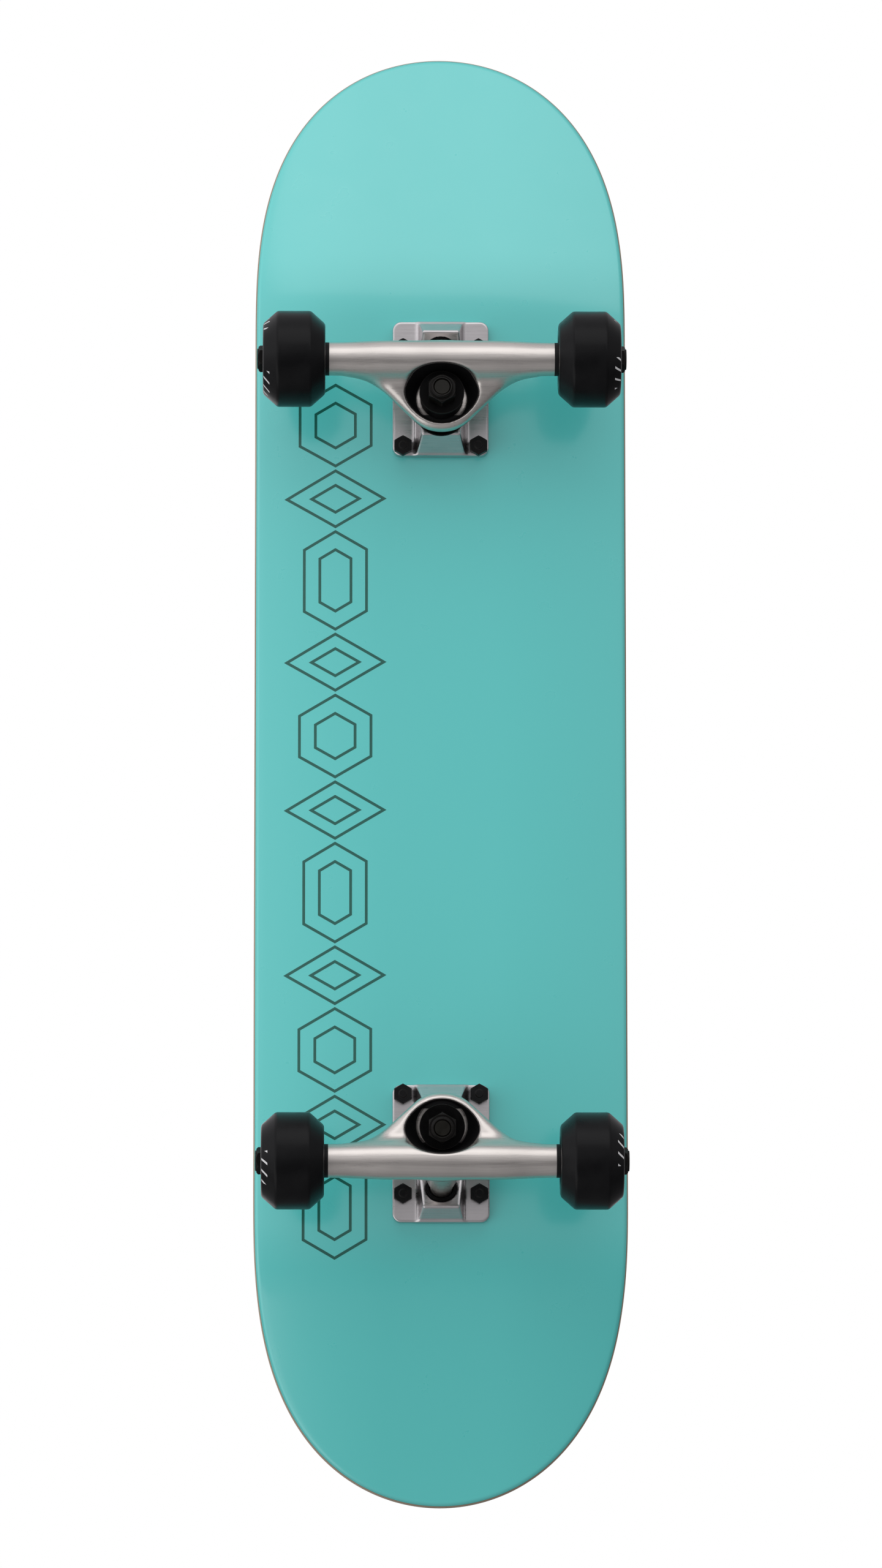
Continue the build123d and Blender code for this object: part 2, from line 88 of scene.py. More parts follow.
# --- Trucks (millimetres, truck frame) --------------------------------
PLATE_INNER = -32.4
TRUCK_X = {"front": PLATE_LOW.x - PLATE_INNER * MM, "rear": REAR_PLATE_HIGH.x + PLATE_INNER * MM}
PLATE_OUTER = 42.6
PLATE_HALF_WIDTH = 26.5
PLATE_THICKNESS = 5.4
BOLT_X = 26.99
BOLT_Y = 20.64
BOLT_HOLE_RADIUS = 2.75
SINK_LOW_RADIUS = 2.45
SINK_RADIUS = 4.85
HEAD_HEIGHT = 2.7
DRILL_LOW = -4
DRILL_HIGH = 14
DRILL_SIDES = 32
AXLE = (12.95, -50.0)
PIVOT = (24.5, -11.5)
PIVOT_TIP = 6.0
CUP_RADIUS = 8.2
FACE_TILT = math.radians(28)
RING = (-7.5, -36.0)
LEAN = math.radians(9)
SEAT_LEVEL = -17.6


# --- Mesh helpers -----------------------------------------------------
def make_object(name, points, faces, smooth_angle=35.0, scale=MM):
    mesh = bpy.data.meshes.new(name)
    mesh.from_pydata((np.asarray(points, float) * scale).tolist(), [], [list(f) for f in faces])
    mesh.validate()
    mesh.polygons.foreach_set("use_smooth", [True] * len(mesh.polygons))
    mesh.set_sharp_from_angle(angle=math.radians(smooth_angle))
    mesh.update()
    obj = bpy.data.objects.new(name, mesh)
    bpy.context.scene.collection.objects.link(obj)
    return obj


def truck_matrix(end):
    turn = Matrix.Identity(4) if end == "front" else Matrix.Rotation(math.pi, 4, "Z")
    return Matrix.Translation((TRUCK_X[end], 0, DECK_Z)) @ turn


def turned(name, profile, segments=96, smooth_angle=30.0):
    """Closed solid of revolution about local Z from a loop of (radius, z) points."""
    angles = np.linspace(0, 2 * math.pi, segments, endpoint=False)
    profile = np.asarray(profile, float)
    ahead = np.roll(profile, -1, axis=0)
    if (profile[:, 0] * ahead[:, 1] - ahead[:, 0] * profile[:, 1]).sum() < 0:
        profile = profile[::-1]
    count = len(profile)
    points = []
    for angle in angles:
        ring = np.column_stack(
            (profile[:, 0] * math.cos(angle), profile[:, 0] * math.sin(angle), profile[:, 1])
        )
        points.append(ring)
    faces = []
    for i in range(segments):
        j = (i + 1) % segments
        for k in range(count):
            m = (k + 1) % count
            faces.append((i * count + k, j * count + k, j * count + m, i * count + m))
    return make_object(name, np.vstack(points), faces, smooth_angle)


def round_corners(points, radii, steps=6):
    """A closed (radius, z) loop with its corners rounded; radii has one value a corner."""
    points = [Vector((*p, 0)) for p in points]
    made = []
    for i, corner in enumerate(points):
        before = (points[i - 1] - corner).normalized()
        after = (points[(i + 1) % len(points)] - corner).normalized()
        radius = radii[i]
        if radius <= 0:
            made.append((corner.x, corner.y))
            continue
        half = before.angle(after) / 2
        reach = radius / math.tan(half)
        centre = corner + (before + after).normalized() * radius / math.sin(half)
        start = corner + before * reach - centre
        end = corner + after * reach - centre
        for k in range(steps + 1):
            arm = start.slerp(end, k / steps) * radius
            made.append((centre.x + arm.x, centre.y + arm.y))
    return made


# --- Surfaces from distance fields ------------------------------------
def smooth_min(a, b, radius):
    blend = np.clip(0.5 + 0.5 * (b - a) / radius, 0, 1)
    return b * (1 - blend) + a * blend - radius * blend * (1 - blend)


def smooth_max(a, b, radius):
    return -smooth_min(-a, -b, radius)


def smooth_step(value, low, high):
    t = np.clip((value - low) / (high - low), 0, 1)
    return t * t * (3 - 2 * t)


def shifted(cells, axes, da, db):
    moved = cells.copy()
    moved[:, axes[0]] += da
    moved[:, axes[1]] += db
    return moved


def surface_points(field, low, high, step):
    """Surface nets: the points and quads of field = 0 inside a box, then drawn onto it."""
    axes = [np.arange(low[i], high[i] + step, step) for i in range(3)]
    shape = [len(axis) for axis in axes]
    gx, gy, gz = np.meshgrid(*axes, indexing="ij")
    values = field(gx, gy, gz)
    inside = values < 0
    cells = [n - 1 for n in shape]
    total = np.zeros((*cells, 3))
    count = np.zeros(cells)
    crossings = []
    for axis in range(3):
        near = [slice(None)] * 3
        far = [slice(None)] * 3
        near[axis] = slice(0, -1)
        far[axis] = slice(1, None)
        a, b = values[tuple(near)], values[tuple(far)]
        crossed = inside[tuple(near)] != inside[tuple(far)]
        where = np.argwhere(crossed)
        share = a[crossed] / (a[crossed] - b[crossed])
        place = where.astype(float)
        place[:, axis] += share
        crossings.append((axis, where, inside[tuple(near)][crossed]))
        others = [k for k in range(3) if k != axis]
        for da in (0, -1):
            for db in (0, -1):
                cell = shifted(where, others, da, db)
                good = np.all((cell >= 0) & (cell < cells), axis=1)
                index = tuple(cell[good].T)
                np.add.at(total, index, place[good])
                np.add.at(count, index, 1)
    used = count > 0
    number = np.full(cells, -1)
    number[used] = np.arange(used.sum())
    points = total[used] / count[used][:, None] * step + np.asarray(low, float)
    faces = []
    for axis, where, starts_inside in crossings:
        others = [k for k in range(3) if k != axis]
        corners = []
        for da, db in ((0, 0), (-1, 0), (-1, -1), (0, -1)):
            cell = shifted(where, others, da, db)
            corners.append(number[tuple(np.clip(cell, 0, np.array(cells) - 1).T)])
        quads = np.column_stack(corners)
        flip = starts_inside if axis != 1 else ~starts_inside
        quads[flip] = quads[flip][:, ::-1]
        faces.append(quads)
    points = draw_to_surface(field, points, step)
    return points, np.vstack(faces)[:, ::-1]


def draw_to_surface(field, points, step):
    nudge = 0.02
    for _ in range(3):
        x, y, z = points.T
        value = field(x, y, z)
        slope = np.column_stack(
            (
                field(x + nudge, y, z) - field(x - nudge, y, z),
                field(x, y + nudge, z) - field(x, y - nudge, z),
                field(x, y, z + nudge) - field(x, y, z - nudge),
            )
        ) / (2 * nudge)
        size = np.maximum((slope**2).sum(1), 0.05)
        move = slope * (value / size)[:, None]
        length = np.linalg.norm(move, axis=1)[:, None]
        move *= np.minimum(1, 0.4 * step / np.maximum(length, 1e-9))
        points = points - move
    return points


def kingpin_coordinates(x, z):
    """Along the kingpin from the ring's middle (away from the deck), and across it."""
    dx, dz = x - RING[0], z - RING[1]
    along = dx * math.sin(LEAN) - dz * math.cos(LEAN)
    across = dx * math.cos(LEAN) + dz * math.sin(LEAN)
    return along, across


# --- Material helpers -------------------------------------------------
class Shader:
    """A Principled material with short names for the nodes that feed it."""

    def __init__(self, name, color, roughness, metallic=0.0):
        self.material = bpy.data.materials.new(name)
        self.material.use_nodes = True
        self.nodes = self.material.node_tree.nodes
        self.links = self.material.node_tree.links
        self.bsdf = self.nodes["Principled BSDF"]
        self.bsdf.inputs["Base Color"].default_value = (*color, 1)
        self.bsdf.inputs["Roughness"].default_value = roughness
        self.bsdf.inputs["Metallic"].default_value = metallic
        coordinates = self.nodes.new("ShaderNodeTexCoord")
        self.position = coordinates.outputs["Object"]

    def set(self, **values):
        for name, value in values.items():
            self.bsdf.inputs[name.replace("_", " ")].default_value = value

    def feed(self, name, output):
        self.links.new(output, self.bsdf.inputs[name])

    def attribute(self, name):
        node = self.nodes.new("ShaderNodeAttribute")
        node.attribute_name = name
        return node.outputs["Fac"]

    def stretched(self, scale):
        node = self.nodes.new("ShaderNodeMapping")
        node.inputs["Scale"].default_value = scale
        self.links.new(self.position, node.inputs["Vector"])
        return node.outputs["Vector"]

    def noise(self, scale, detail=3.0, roughness=0.5, vector=None):
        node = self.nodes.new("ShaderNodeTexNoise")
        node.inputs["Scale"].default_value = scale
        node.inputs["Detail"].default_value = detail
        node.inputs["Roughness"].default_value = roughness
        self.links.new(vector or self.position, node.inputs["Vector"])
        return node.outputs["Fac"]

    def cells(self, scale):
        node = self.nodes.new("ShaderNodeTexVoronoi")
        node.inputs["Scale"].default_value = scale
        self.links.new(self.position, node.inputs["Vector"])
        return node.outputs["Distance"]

    def math(self, operation, a, b=0.0):
        node = self.nodes.new("ShaderNodeMath")
        node.operation = operation
        for socket, value in zip(node.inputs, (a, b)):
            if isinstance(value, (int, float)):
                socket.default_value = value
            else:
                self.links.new(value, socket)
        return node.outputs[0]

    def span(self, value, low, high, to_low=0.0, to_high=1.0):
        node = self.nodes.new("ShaderNodeMapRange")
        node.inputs["From Min"].default_value = low
        node.inputs["From Max"].default_value = high
        node.inputs["To Min"].default_value = to_low
        node.inputs["To Max"].default_value = to_high
        self.links.new(value, node.inputs["Value"])
        return node.outputs["Result"]

    def mix(self, share, a, b):
        node = self.nodes.new("ShaderNodeMix")
        node.data_type = "RGBA"
        for socket, value in zip((node.inputs[0], node.inputs[6], node.inputs[7]), (share, a, b)):
            if isinstance(value, bpy.types.NodeSocket):
                self.links.new(value, socket)
            elif isinstance(value, (int, float)):
                socket.default_value = value
            else:
                socket.default_value = (*value, 1)
        return node.outputs[2]

    def axis(self, letter):
        node = self.nodes.new("ShaderNodeSeparateXYZ")
        self.links.new(self.position, node.inputs[0])
        return node.outputs[letter]

    def bump(self, height, strength, distance):
        node = self.nodes.new("ShaderNodeBump")
        node.inputs["Strength"].default_value = strength
        node.inputs["Distance"].default_value = distance
        self.links.new(height, node.inputs["Height"])
        self.feed("Normal", node.outputs["Normal"])

    def edge_wear(self, radius=0.0008):
        """1 on raised edges, from how far a bevelled normal leaves the true one."""
        bevel = self.nodes.new("ShaderNodeBevel")
        bevel.samples = 4
        bevel.inputs["Radius"].default_value = radius
        geometry = self.nodes.new("ShaderNodeNewGeometry")
        product = self.nodes.new("ShaderNodeVectorMath")
        product.operation = "DOT_PRODUCT"
        self.links.new(bevel.outputs["Normal"], product.inputs[0])
        self.links.new(geometry.outputs["Normal"], product.inputs[1])
        return self.span(product.outputs["Value"], 0.995, 0.9)


# --- Materials --------------------------------------------------------
def paint_material():
    s = Shader("deck_lacquer", (0.10, 0.58, 0.56), 0.3)
    s.set(Coat_Weight=0.8, Coat_Roughness=0.16, Coat_IOR=1.7, Specular_IOR_Level=0.5)
    cloud = s.noise(9.0, 2.0)
    s.feed("Base Color", s.mix(cloud, (0.1, 0.675, 0.635), (0.106, 0.69, 0.65)))
    s.feed("Roughness", s.span(s.noise(60.0, 4.0), 0.3, 0.7, 0.27, 0.36))
    grain = s.noise(1.0, 5.0, 0.6, s.stretched((30, 900, 900)))
    s.bump(grain, 0.06, 0.0002)
    return s.material


# Dark green painted shade for the thin rail band past the lacquer's edge, standing in for the shadow line there.
def painted_shade_material():
    s = Shader("rail_painted_shade", (0.04, 0.12, 0.09), 0.4)
    s.feed("Base Color", s.mix(s.noise(200.0, 3.0), (0.03, 0.10, 0.08), (0.06, 0.15, 0.11)))
    return s.material


def ink_material():
    s = Shader("graphic_ink", (0.0, 0.10, 0.078), 0.35)
    s.set(Coat_Weight=0.5, Coat_Roughness=0.12)
    s.feed("Base Color", s.mix(s.noise(120.0), (0.0, 0.10, 0.075), (0.002, 0.13, 0.098)))
    return s.material


def wood_material(name, light, dark):
    s = Shader(name, light, 0.6)
    fibres = s.noise(1.0, 6.0, 0.65, s.stretched((60, 1500, 2500)))
    broad = s.noise(25.0, 3.0)
    streak = s.mix(s.span(fibres, 0.3, 0.72), dark, light)
    s.feed("Base Color", s.mix(s.span(broad, 0.35, 0.7, 0.0, 0.35), streak, dark))
    s.feed("Roughness", s.span(fibres, 0.2, 0.8, 0.5, 0.72))
    s.bump(fibres, 0.3, 0.0003)
    return s.material


def grip_material():
    s = Shader("grip_grit", (0.018, 0.018, 0.019), 0.9)
    grit = s.cells(1400.0)
    coarse = s.noise(900.0, 4.0, 0.7)
    dust = s.noise(14.0, 4.0, 0.6)
    dark = s.mix(s.span(coarse, 0.35, 0.75), (0.008, 0.008, 0.009), (0.04, 0.04, 0.042))
    s.feed("Base Color", s.mix(s.span(dust, 0.5, 0.8, 0.0, 0.25), dark, (0.06, 0.058, 0.055)))
    glint = s.span(s.cells(2300.0), 0.02, 0.2, 0.35, 0.95)
    s.feed("Roughness", glint)
    s.bump(s.math("ADD", grit, coarse), 0.9, 0.0006)
    return s.material


def aluminium_material(name, color, rough_low, rough_high, grain_scale, coated=False):
    s = Shader(name, color, rough_low, 1.0)
    lines = s.noise(1.0, 4.0, 0.6, s.stretched(grain_scale))
    pits = s.noise(700.0, 3.0, 0.6)
    cloud = s.noise(35.0, 3.0)
    darker = tuple(0.82 * c for c in color)
    metal = s.mix(s.span(s.math("ADD", cloud, lines), 0.7, 1.3), darker, color)
    rough = s.span(lines, 0.25, 0.75, rough_low, rough_high)
    worn = s.mix(s.edge_wear(), metal, tuple(min(1.0, 1.15 * c) for c in color))
    if coated:
        mask = s.span(s.attribute("coat"), -0.12, 0.12)
        s.feed("Base Color", s.mix(mask, worn, (0.004, 0.004, 0.0045)))
        s.set(Specular_IOR_Level=0.25)
        s.feed("Metallic", s.span(mask, 0.0, 1.0, 1.0, 0.0))
        s.feed("Roughness", s.math("ADD", rough, s.math("MULTIPLY", mask, 0.22)))
    else:
        s.feed("Base Color", worn)
        s.feed("Roughness", rough)
    s.bump(s.math("ADD", lines, s.math("MULTIPLY", pits, 0.5)), 0.12, 0.0003)
    return s.material


BLACK_STEEL = (0.0035, 0.0035, 0.0038)


def dark_steel_material(name, color=BLACK_STEEL, roughness=0.42, metallic=0.1, specular=0.18):
    s = Shader(name, color, roughness, metallic)
    cloud = s.noise(220.0, 4.0)
    lighter = tuple(c * 1.7 + 0.002 for c in color)
    base = s.mix(s.span(cloud, 0.35, 0.75), color, lighter)
    s.set(Specular_IOR_Level=specular)
    s.feed("Base Color", s.mix(s.edge_wear(0.0004), base, (0.03, 0.028, 0.026)))
    s.feed("Roughness", s.span(cloud, 0.3, 0.7, roughness - 0.08, roughness + 0.1))
    s.bump(s.noise(1500.0, 3.0), 0.15, 0.0002)
    return s.material


def bright_steel_material(name, color, roughness):
    s = Shader(name, color, roughness, 1.0)
    rings = s.noise(900.0, 3.0)
    s.feed("Base Color", s.mix(rings, color, tuple(0.8 * c for c in color)))
    s.feed("Roughness", s.span(rings, 0.3, 0.7, roughness * 0.8, roughness * 1.4))
    s.bump(rings, 0.08, 0.0001)
    return s.material


def urethane_material(name, color=(0.003, 0.003, 0.0034), roughness=0.4):
    s = Shader(name, color, roughness)
    s.set(Specular_IOR_Level=0.08)
    cloud = s.noise(90.0, 4.0)
    lighter = tuple(c * 1.7 + 0.002 for c in color)
    s.feed("Base Color", s.mix(s.span(cloud, 0.35, 0.75), color, lighter))
    s.feed("Roughness", s.span(cloud, 0.3, 0.7, roughness - 0.05, roughness + 0.1))
    s.bump(s.noise(1300.0, 4.0), 0.1, 0.0002)
    return s.material


PRINT_INNER_RADIUS = 0.0192
PRINT_OUTER_RADIUS = 0.0222
PRINT_LOWEST = 0.0115
DASHES_PER_TURN = 21.0
DASH_SHARE = 0.19
DASH_LEAN = 7.0
GROUPS_PER_TURN = 3.0
GROUP_SHARE = 0.42


def wheel_material(name, phase):
    """Black urethane with generic groups of slanted white dashes printed on the outer shoulder."""
    s = Shader(f"{name}_urethane", (0.003, 0.003, 0.0035), 0.3)
    s.set(Specular_IOR_Level=0.14)
    x, y, z = s.axis("X"), s.axis("Y"), s.axis("Z")
    radius = s.math("SQRT", s.math("ADD", s.math("MULTIPLY", x, x), s.math("MULTIPLY", y, y)))
    turn = s.math("ADD", s.math("DIVIDE", s.math("ARCTAN2", y, x), 2 * math.pi), phase)
    lean = s.math("ADD", turn, s.math("MULTIPLY", radius, DASH_LEAN))
    dashes = s.math("FRACT", s.math("MULTIPLY", lean, DASHES_PER_TURN))
    dashes = s.math("LESS_THAN", dashes, DASH_SHARE)
    groups = s.math("FRACT", s.math("MULTIPLY", turn, GROUPS_PER_TURN))
    groups = s.math("LESS_THAN", groups, GROUP_SHARE)
    outside = s.math("GREATER_THAN", radius, PRINT_INNER_RADIUS)
    band = s.math("MULTIPLY", outside, s.math("LESS_THAN", radius, PRINT_OUTER_RADIUS))
    mark = s.math("MULTIPLY", s.math("MULTIPLY", dashes, groups), band)
    mark = s.math("MULTIPLY", mark, s.math("GREATER_THAN", z, PRINT_LOWEST))
    cloud = s.noise(90.0, 4.0)
    rubber = s.mix(s.span(cloud, 0.35, 0.75), (0.003, 0.003, 0.0035), (0.006, 0.006, 0.0065))
    s.feed("Base Color", s.mix(mark, rubber, (0.72, 0.72, 0.72)))
    s.feed("Roughness", s.span(cloud, 0.3, 0.7, 0.25, 0.35))
    s.bump(s.noise(1100.0, 4.0), 0.1, 0.0002)
    return s.material


# --- Deck -------------------------------------------------------------
def surface_height(x, y, depth):
    """Height over the flat of the laminate surface that lies depth above the painted face."""
    rise = np.maximum(np.abs(y) - FLAT_HALF, 0)
    section = CONCAVE_RADIUS - np.sqrt((CONCAVE_RADIUS - depth) ** 2 - rise**2)
    run = np.maximum(np.abs(x) - BEND_START, 0)
    arm = BEND_RADIUS - section
    bend = BEND_RADIUS - np.sqrt(np.maximum(arm**2 - run**2, 0))
    kick = BEND_RADIUS - arm * math.cos(KICK) + (run - arm * math.sin(KICK)) * math.tan(KICK)
    return np.where(run < arm * math.sin(KICK), bend, kick)


def rail_inset(depth):
    """How far the rounded rail stands in from the outline at this depth."""
    if depth < RAIL_ROUND_LOW:
        return RAIL_ROUND_LOW - math.sqrt(RAIL_ROUND_LOW**2 - (RAIL_ROUND_LOW - depth) ** 2)
    over = depth - (THICKNESS - RAIL_ROUND_HIGH)
    if over > 0:
        return RAIL_ROUND_HIGH - math.sqrt(RAIL_ROUND_HIGH**2 - min(over, RAIL_ROUND_HIGH) ** 2)
    return 0.0


def half_outline(per_end=72, per_rail=56):
    """The +Y half of the outline from tail tip to nose tip, and its outward normals."""
    theta = np.linspace(0, math.pi / 2, per_end)
    back = END_TAPER * (1 - np.cos(theta))
    half = WIDTH / 2 * np.sqrt(1 - np.cos(theta) ** 3)
    rail = np.linspace(END_TAPER - TAIL_REACH, NOSE_REACH - END_TAPER, per_rail)[1:-1]
    x = np.concatenate((back - TAIL_REACH, rail, (NOSE_REACH - back)[::-1]))
    y = np.concatenate((half, np.full(len(rail), WIDTH / 2), half[::-1]))
    loop_x = np.concatenate((x[1:2], x, x[-2:-1]))
    loop_y = np.concatenate((-y[1:2], y, -y[-2:-1]))
    tangent = np.column_stack((loop_x[2:] - loop_x[:-2], loop_y[2:] - loop_y[:-2]))
    tangent /= np.linalg.norm(tangent, axis=1)[:, None]
    normal = np.column_stack((-tangent[:, 1], tangent[:, 0]))
    return np.column_stack((x, y)), normal


def rail_kind(depth):
    """Which material the rail has down to this depth."""
    if depth <= PAINT_END + 1e-6:
        return PAINT
    # Past the lacquer comes the thin band of painted shade, then bare wood.
    if depth <= PAINTED_SHADE_END + 1e-6:
        return PAINTED_SHADE
    return WOOD


def layer_shell(depths, columns):
    """Points and faces of one closed layer of the laminate, from depths[0] to depths[-1]."""
    outline, normal = half_outline()
    rows = len(outline)
    points, faces, kinds = [], [], []

    def edge_at(depth):
        place = outline - normal * rail_inset(depth)
        place[:, 1] = np.maximum(place[:, 1], 0)
        return place

    def add(x, y, depth):
        start = sum(len(p) for p in points)
        z = surface_height(x, y, depth)
        points.append(np.column_stack((x, y, z)))
        return start

    def add_sheet(depth, upward):
        place = edge_at(depth)
        spread = np.linspace(-1, 1, columns)
        inner = place[1:-1]
        x = np.repeat(inner[:, 0], columns)
        y = (inner[:, 1][:, None] * spread[None, :]).ravel()
        start = add(x, y, depth)
        tips = add(place[[0, -1], 0], np.zeros(2), depth)
        for i in range(rows - 3):
            for j in range(columns - 1):
                a = start + i * columns + j
                quad = (a, a + columns, a + columns + 1, a + 1)
                faces.append(quad if upward else quad[::-1])
        for j in range(columns - 1):
            first = (tips, start + j, start + j + 1)
            base = start + (rows - 3) * columns
            last = (tips + 1, base + j + 1, base + j)
            faces.append(first if upward else first[::-1])
            faces.append(last if upward else last[::-1])
        right = [start + i * columns + columns - 1 for i in range(rows - 2)]
        left = [start + i * columns for i in range(rows - 3, -1, -1)]
        return [tips, *right, tips + 1, *left]

    def add_loop(depth):
        place = edge_at(depth)
        back = place[-2:0:-1] * (1, -1)
        ring = np.vstack((place, back))
        start = add(ring[:, 0], ring[:, 1], depth)
        return list(range(start, start + len(ring)))

    loops = [add_sheet(depths[0], upward=False)]
    kinds += [PAINT] * len(faces)
    loops += [add_loop(depth) for depth in depths[1:-1]]
    loops.append(add_sheet(depths[-1], upward=True))
    kinds += [WOOD] * (len(faces) - len(kinds))
    for k, (low, high) in enumerate(zip(loops, loops[1:])):
        kind = rail_kind(depths[k + 1])
        for i in range(len(low)):
            j = (i + 1) % len(low)
            faces.append((low[i], high[i], high[j], low[j]))
            kinds.append(kind)
    return np.vstack(points), faces, kinds


def place_on_board(obj):
    obj.matrix_world = Matrix.Translation((MIDDLE_X, 0, DECK_Z))
    return obj


def drill(x, y):
    """Points and faces of one closed drill: the clearance hole, its countersink and the way out."""
    sunk = (BOLT_HOLE_RADIUS - SINK_LOW_RADIUS) / (SINK_RADIUS - SINK_LOW_RADIUS)
    cone_start = THICKNESS - HEAD_HEIGHT * (1 - sunk)
    levels = [
        (DRILL_LOW, BOLT_HOLE_RADIUS),
        (cone_start, BOLT_HOLE_RADIUS),
        (THICKNESS, SINK_RADIUS),
        (DRILL_HIGH, SINK_RADIUS),
    ]
    points, faces = [], []
    for height, radius in levels:
        for i in range(DRILL_SIDES):
            turn = 2 * math.pi * i / DRILL_SIDES
            points.append((x + radius * math.cos(turn), y + radius * math.sin(turn), height))
    for k in range(len(levels) - 1):
        for i in range(DRILL_SIDES):
            j = (i + 1) % DRILL_SIDES
            low, high = k * DRILL_SIDES, (k + 1) * DRILL_SIDES
            faces.append((low + i, low + j, high + j, high + i))
    last_ring = (len(levels) - 1) * DRILL_SIDES
    faces.append(tuple(reversed(range(DRILL_SIDES))))
    faces.append(tuple(range(last_ring, last_ring + DRILL_SIDES)))
    return points, faces


def cut_bolt_holes(piece, last_material):
    """Takes the bolts' clearance holes, with countersinks open at the top, out of a piece."""
    points, faces = [], []
    for end in ENDS.values():
        for sx in (1, -1):
            for sy in (1, -1):
                x = end * (TRUCK_X["front"] - MIDDLE_X) / MM + sx * BOLT_X
                more_points, more_faces = drill(x, sy * BOLT_Y)
                shift = len(points)
                points += more_points
                faces += [tuple(v + shift for v in face) for face in more_faces]
    cutter = place_on_board(make_object("drills", points, faces))
    for material in piece.data.materials:
        cutter.data.materials.append(material)
    cutter.data.polygons.foreach_set("material_index", [last_material] * len(faces))
    modifier = piece.modifiers.new("bolt_holes", "BOOLEAN")
    modifier.operation = "DIFFERENCE"
    modifier.solver = "EXACT"
    modifier.object = cutter
    bpy.context.view_layer.update()
    whole = piece.data
    evaluated = piece.evaluated_get(bpy.context.evaluated_depsgraph_get())
    cut = bpy.data.meshes.new_from_object(evaluated)
    piece.modifiers.clear()
    piece.data = cut
    cut.set_sharp_from_angle(angle=math.radians(40))
    bpy.data.meshes.remove(whole)
    bpy.data.objects.remove(cutter)


def make_ply_piece(name, plies, columns, materials):
    ply = THICKNESS / PLIES
    points, faces, kinds = [], [], []
    for i in plies:
        low, high = i * ply, (i + 1) * ply
        depths = [low, *[low + ply * share for share in (0.25, 0.5, 0.75)], high]
        if i == 0:
            # 0.55 stands out of order here, so the painted rail strip folds back on itself by 0.4 mm.
            depths = [0, 0.04, 0.1, 0.18, PAINT_END, 0.55, PAINTED_SHADE_END, 1.2, high]
        if i == PLIES - 1:
            depths = [low, low + 0.35, low + 0.7, low + 1.0, high - 0.3, high - 0.12, high - 0.03, high]
        shell_points, shell_faces, shell_kinds = layer_shell(depths, columns)
        shift = sum(len(p) for p in points)
        points.append(shell_points)
        faces += [tuple(v + shift for v in face) for face in shell_faces]
        kinds += shell_kinds
    piece = place_on_board(make_object(name, np.vstack(points), faces, 40))
    for material in materials:
        piece.data.materials.append(material)
    last = len(materials) - 1
    piece.data.polygons.foreach_set("material_index", [min(kind, last) for kind in kinds])
    cut_bolt_holes(piece, last)
    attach(piece, "deck")
    return piece


def make_deck(paint):
    light = wood_material("maple_long_grain", (0.47, 0.38, 0.28), (0.34, 0.26, 0.18))
    dark = wood_material("maple_cross_grain", (0.27, 0.20, 0.14), (0.17, 0.12, 0.08))
    # The bottom ply's rail gets the lacquer, then a thin band of painted shade, then bare wood.
    bottom = make_ply_piece("bottom_face_ply", [0], 61, [paint, painted_shade_material(), light])
    cores = make_ply_piece("long_grain_core_plies", [1, 3, 5], 21, [light])
    cross = make_ply_piece("cross_grain_plies", [2, 4], 21, [dark])
    top = make_ply_piece("top_face_ply", [6], 41, [light])
    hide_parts("deck_bottom_face_ply")
    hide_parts("deck_long_grain_core_plies")
    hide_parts("deck_cross_grain_plies")
    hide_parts("deck_top_face_ply")


# --- Generic graphic: a strip of nested hexagons, lozenges and long hexagons 
STRIP_Y = -57.5
STRIP_START = 213.0
STRIP_END = -269.0
STROKE_HALF = 0.75
INK_PROUD = 0.04


def polygon_outline(corners, spacing=2.0):
    made = []
    for a, b in zip(corners, corners[1:] + corners[:1]):
        a, b = np.array(a, float), np.array(b, float)
        count = max(1, int(np.linalg.norm(b - a) / spacing))
        made += [a + (b - a) * i / count for i in range(count)]
    return np.array(made)


def many_sided(count, half_width, half_height):
    """Outline of an even-sided figure stretched to the half sizes, corners left and right."""
    turns = [2 * math.pi * i / count for i in range(count)]
    return polygon_outline([(half_width * math.cos(t), half_height * math.sin(t)) for t in turns])


def strip_figures():
    """Each figure's outlines about its own middle, with its width along the board."""
    hexagon = [many_sided(6, 22.5, 22.5), many_sided(6, 12.5, 12.5)]
    lozenge = [many_sided(4, 15.5, 26.5), many_sided(4, 7.5, 13)]
    long_hexagon = [
        polygon_outline([(27, 0), (17, 17), (-17, 17), (-27, 0), (-17, -17), (17, -17)]),
        polygon_outline([(17, 0), (12, 8.5), (-12, 8.5), (-17, 0), (-12, -8.5), (12, -8.5)]),
    ]
    return [(hexagon, 45), (lozenge, 31), (long_hexagon, 54), (lozenge, 31)]


def ribbon(outline, x_middle):
    """A closed, flat ribbon of ink along the outline, lying on the painted face."""
    after = np.roll(outline, -1, axis=0) - outline
    before = outline - np.roll(outline, 1, axis=0)
    after /= np.linalg.norm(after, axis=1)[:, None]
    before /= np.linalg.norm(before, axis=1)[:, None]
    normals = np.column_stack((-(after + before)[:, 1], (after + before)[:, 0]))
    normals /= np.linalg.norm(normals, axis=1)[:, None]
    miter = (normals * np.column_stack((-after[:, 1], after[:, 0]))).sum(1)
    normals /= np.maximum(miter, 0.4)[:, None]
    rings = []
    for offset, proud in ((-1, INK_PROUD), (1, INK_PROUD), (1, -INK_PROUD), (-1, -INK_PROUD)):
        flat = outline + normals * STROKE_HALF * offset
        x, y = x_middle - flat[:, 0], STRIP_Y + flat[:, 1]
        rings.append(np.column_stack((x, y, surface_height(x, y, 0) - proud)))
    count = len(outline)
    faces = []
    for k in range(4):
        for i in range(count):
            j = (i + 1) % count
            m = (k + 1) % 4
            faces.append((k * count + i, k * count + j, m * count + j, m * count + i))
    return np.vstack(rings), faces


